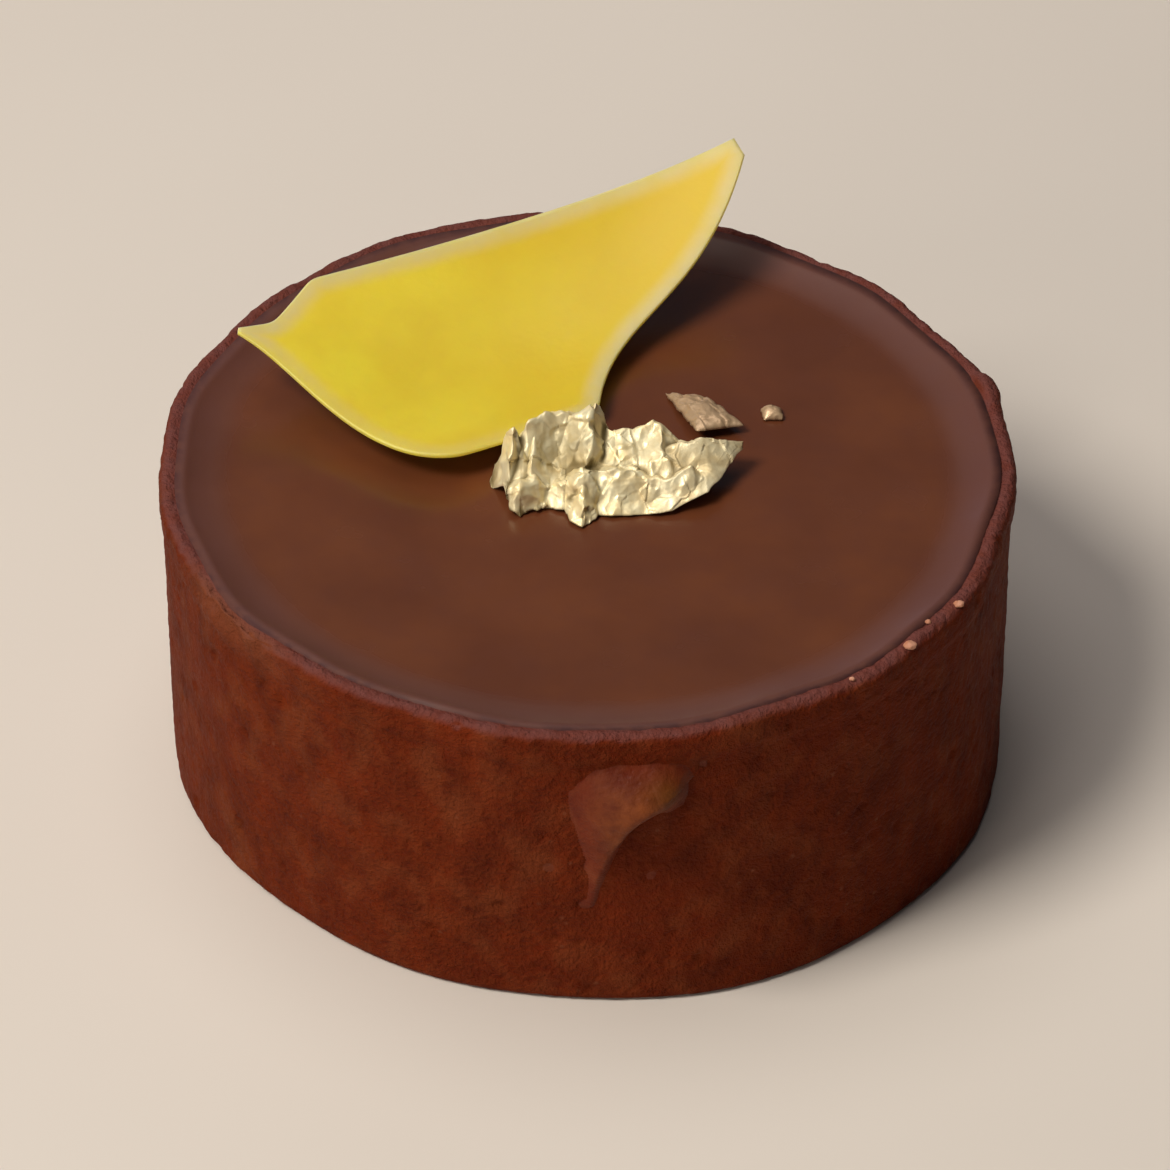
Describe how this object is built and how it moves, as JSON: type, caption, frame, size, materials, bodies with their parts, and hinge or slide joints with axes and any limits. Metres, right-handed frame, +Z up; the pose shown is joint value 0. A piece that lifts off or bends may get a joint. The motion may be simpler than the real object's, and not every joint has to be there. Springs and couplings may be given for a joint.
{
  "type": "chocolate caramel tart",
  "caption": "Small round straight-sided tart in a cocoa crust, filled with smooth dark chocolate, topped with a curved yellow shard and crumpled gold leaf.",
  "frame": {"origin": "middle of the flat base, on the plane that the tart stands on", "axes": "+Z up, -Y towards the front of the tart, where the lump on its side is, +X to the right seen from the front"},
  "size_m": [0.06, 0.0616, 0.0325],
  "materials": {
    "cocoa_crust": "matte, fine crumb with small pits",
    "chocolate": "satin, smooth",
    "yellow_chocolate": "satin, paler at the edges",
    "gold_leaf": "bright crumpled leaf",
    "caramel": "satin, set"
  },
  "bodies": {
    "root": {"tart_shell": "cocoa_crust", "chocolate_filling": "chocolate", "yellow_shard": "yellow_chocolate", "gold_leaf": "gold_leaf", "gold_flake_large": "gold_leaf", "gold_flake_small": "gold_leaf", "side_lump": "caramel"}
  },
  "joints": []
}
